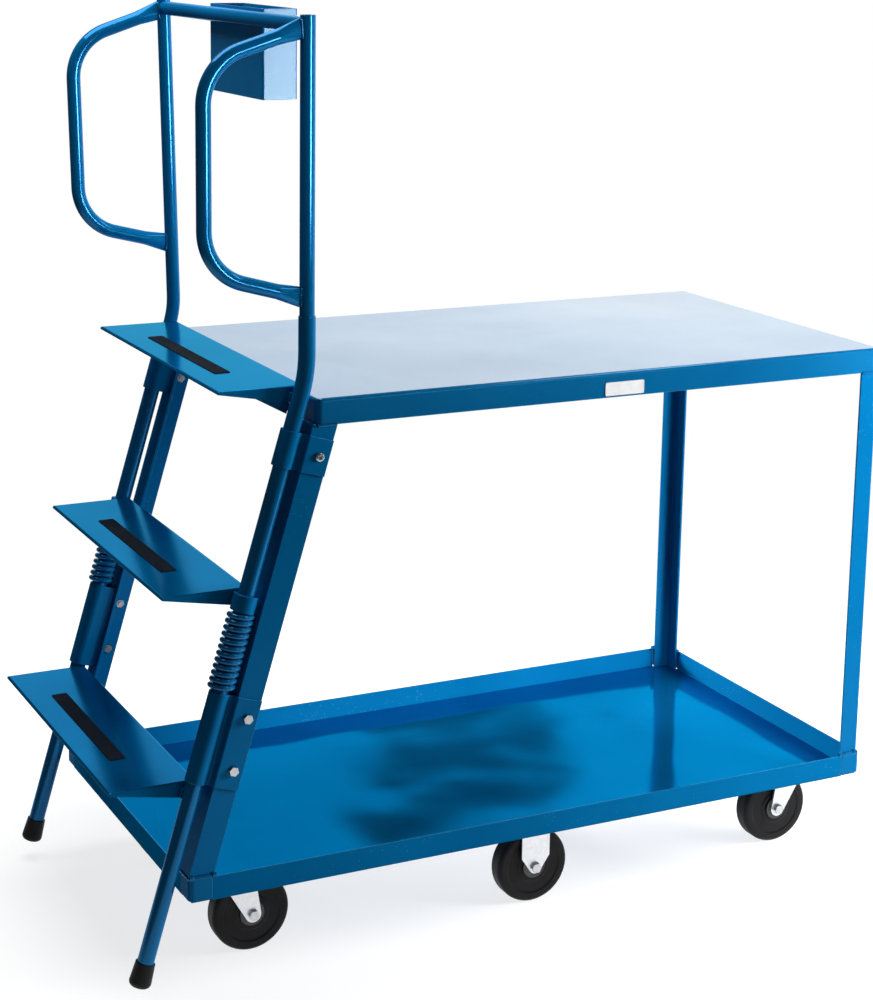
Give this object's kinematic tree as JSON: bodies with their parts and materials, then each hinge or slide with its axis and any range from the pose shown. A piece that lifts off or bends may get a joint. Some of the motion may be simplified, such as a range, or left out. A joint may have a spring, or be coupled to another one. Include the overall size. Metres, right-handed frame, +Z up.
{
  "type": "ladder cart",
  "caption": "Steel shelf trolley on swivel and fixed casters with a sloped spring-lift step ladder, handrail loops and a small document box on one end.",
  "frame": {"origin": "on the floor, under the middle of the whole cart", "axes": "+Z up; +X along the cart, away from the ladder; +Y to the side that is far from the camera in the picture"},
  "size_m": [1.3306, 0.6166, 1.4533],
  "materials": {
    "blue_paint": "semi-gloss enamel",
    "zinc_plate": "bright zinc plate",
    "fastener_steel": "zinc plated",
    "hub_steel": "dark steel",
    "wheel_rubber": "solid moulded rubber",
    "foot_rubber": "matt rubber",
    "grip_strip": "gritted anti-slip tape"
  },
  "bodies": {
    "frame": {"bottom_shelf": "blue_paint", "shelf_corner_angles": "blue_paint", "top_shelf": "blue_paint", "rear_leg_near": "blue_paint", "rear_leg_far": "blue_paint", "front_leg_near": "blue_paint", "front_leg_far": "blue_paint", "upper_guide_near": "blue_paint", "upper_guide_far": "blue_paint", "lower_guide_near": "blue_paint", "lower_guide_far": "blue_paint", "guide_bolts": "fastener_steel", "guide_screws": "fastener_steel", "guide_nuts": "fastener_steel", "spring_near": "blue_paint", "spring_far": "blue_paint", "caster_plates": "zinc_plate", "caster_kingpins": "fastener_steel", "rigid_fork_near": "zinc_plate", "rigid_fork_far": "zinc_plate", "rigid_axle_near": "fastener_steel", "rigid_axle_far": "fastener_steel"},
    "ladder": {"rail_near": "blue_paint", "rail_far": "blue_paint", "post_near": "blue_paint", "post_far": "blue_paint", "loop_near": "blue_paint", "loop_far": "blue_paint", "crossbar": "blue_paint", "document_box": "blue_paint", "step_bottom": "blue_paint", "step_middle": "blue_paint", "step_top": "blue_paint", "step_gussets": "blue_paint", "tread_strips": "grip_strip", "spring_collars": "blue_paint", "foot_near": "foot_rubber", "foot_far": "foot_rubber"},
    "swivel_front_near": {"fork_front_near": "zinc_plate", "axle_front_near": "fastener_steel"},
    "wheel_front_near": {"tyre_front_near": "wheel_rubber", "hub_front_near": "hub_steel"},
    "swivel_front_far": {"fork_front_far": "zinc_plate", "axle_front_far": "fastener_steel"},
    "wheel_front_far": {"tyre_front_far": "wheel_rubber", "hub_front_far": "hub_steel"},
    "swivel_rear_near": {"fork_rear_near": "zinc_plate", "axle_rear_near": "fastener_steel"},
    "wheel_rear_near": {"tyre_rear_near": "wheel_rubber", "hub_rear_near": "hub_steel"},
    "swivel_rear_far": {"fork_rear_far": "zinc_plate", "axle_rear_far": "fastener_steel"},
    "wheel_rear_far": {"tyre_rear_far": "wheel_rubber", "hub_rear_far": "hub_steel"},
    "wheel_rigid_near": {"tyre_rigid_near": "wheel_rubber", "hub_rigid_near": "hub_steel"},
    "wheel_rigid_far": {"tyre_rigid_far": "wheel_rubber", "hub_rigid_far": "hub_steel"}
  },
  "joints": [
    {"name": "ladder_slide", "type": "slide", "parent": "frame", "child": "ladder", "axis": [-0.2823, 0, -0.9593], "range_m": [0, 0.02867], "stiffness_N_per_m": 5000, "springref_m": -0.035, "deforming": ["spring_near", "spring_far"]},
    {"name": "swivel_front_near", "type": "hinge", "parent": "frame", "child": "swivel_front_near", "pos_m": [-0.43966, -0.176, 0.14], "axis": [0, 0, 1], "continuous": true},
    {"name": "spin_front_near", "type": "hinge", "parent": "swivel_front_near", "child": "wheel_front_near", "pos_m": [-0.41166, -0.176, 0.0635], "axis": [0, 1, 0], "continuous": true},
    {"name": "swivel_front_far", "type": "hinge", "parent": "frame", "child": "swivel_front_far", "pos_m": [-0.43966, 0.176, 0.14], "axis": [0, 0, 1], "continuous": true},
    {"name": "spin_front_far", "type": "hinge", "parent": "swivel_front_far", "child": "wheel_front_far", "pos_m": [-0.41166, 0.176, 0.0635], "axis": [0, 1, 0], "continuous": true},
    {"name": "swivel_rear_near", "type": "hinge", "parent": "frame", "child": "swivel_rear_near", "pos_m": [0.60434, -0.176, 0.14], "axis": [0, 0, 1], "continuous": true},
    {"name": "spin_rear_near", "type": "hinge", "parent": "swivel_rear_near", "child": "wheel_rear_near", "pos_m": [0.57634, -0.176, 0.0635], "axis": [0, 1, 0], "continuous": true},
    {"name": "swivel_rear_far", "type": "hinge", "parent": "frame", "child": "swivel_rear_far", "pos_m": [0.60434, 0.176, 0.14], "axis": [0, 0, 1], "continuous": true},
    {"name": "spin_rear_far", "type": "hinge", "parent": "swivel_rear_far", "child": "wheel_rear_far", "pos_m": [0.57634, 0.176, 0.0635], "axis": [0, 1, 0], "continuous": true},
    {"name": "spin_rigid_near", "type": "hinge", "parent": "frame", "child": "wheel_rigid_near", "pos_m": [0.07234, -0.208, 0.0635], "axis": [0, 1, 0], "continuous": true},
    {"name": "spin_rigid_far", "type": "hinge", "parent": "frame", "child": "wheel_rigid_far", "pos_m": [0.07234, 0.208, 0.0635], "axis": [0, 1, 0], "continuous": true}
  ]
}
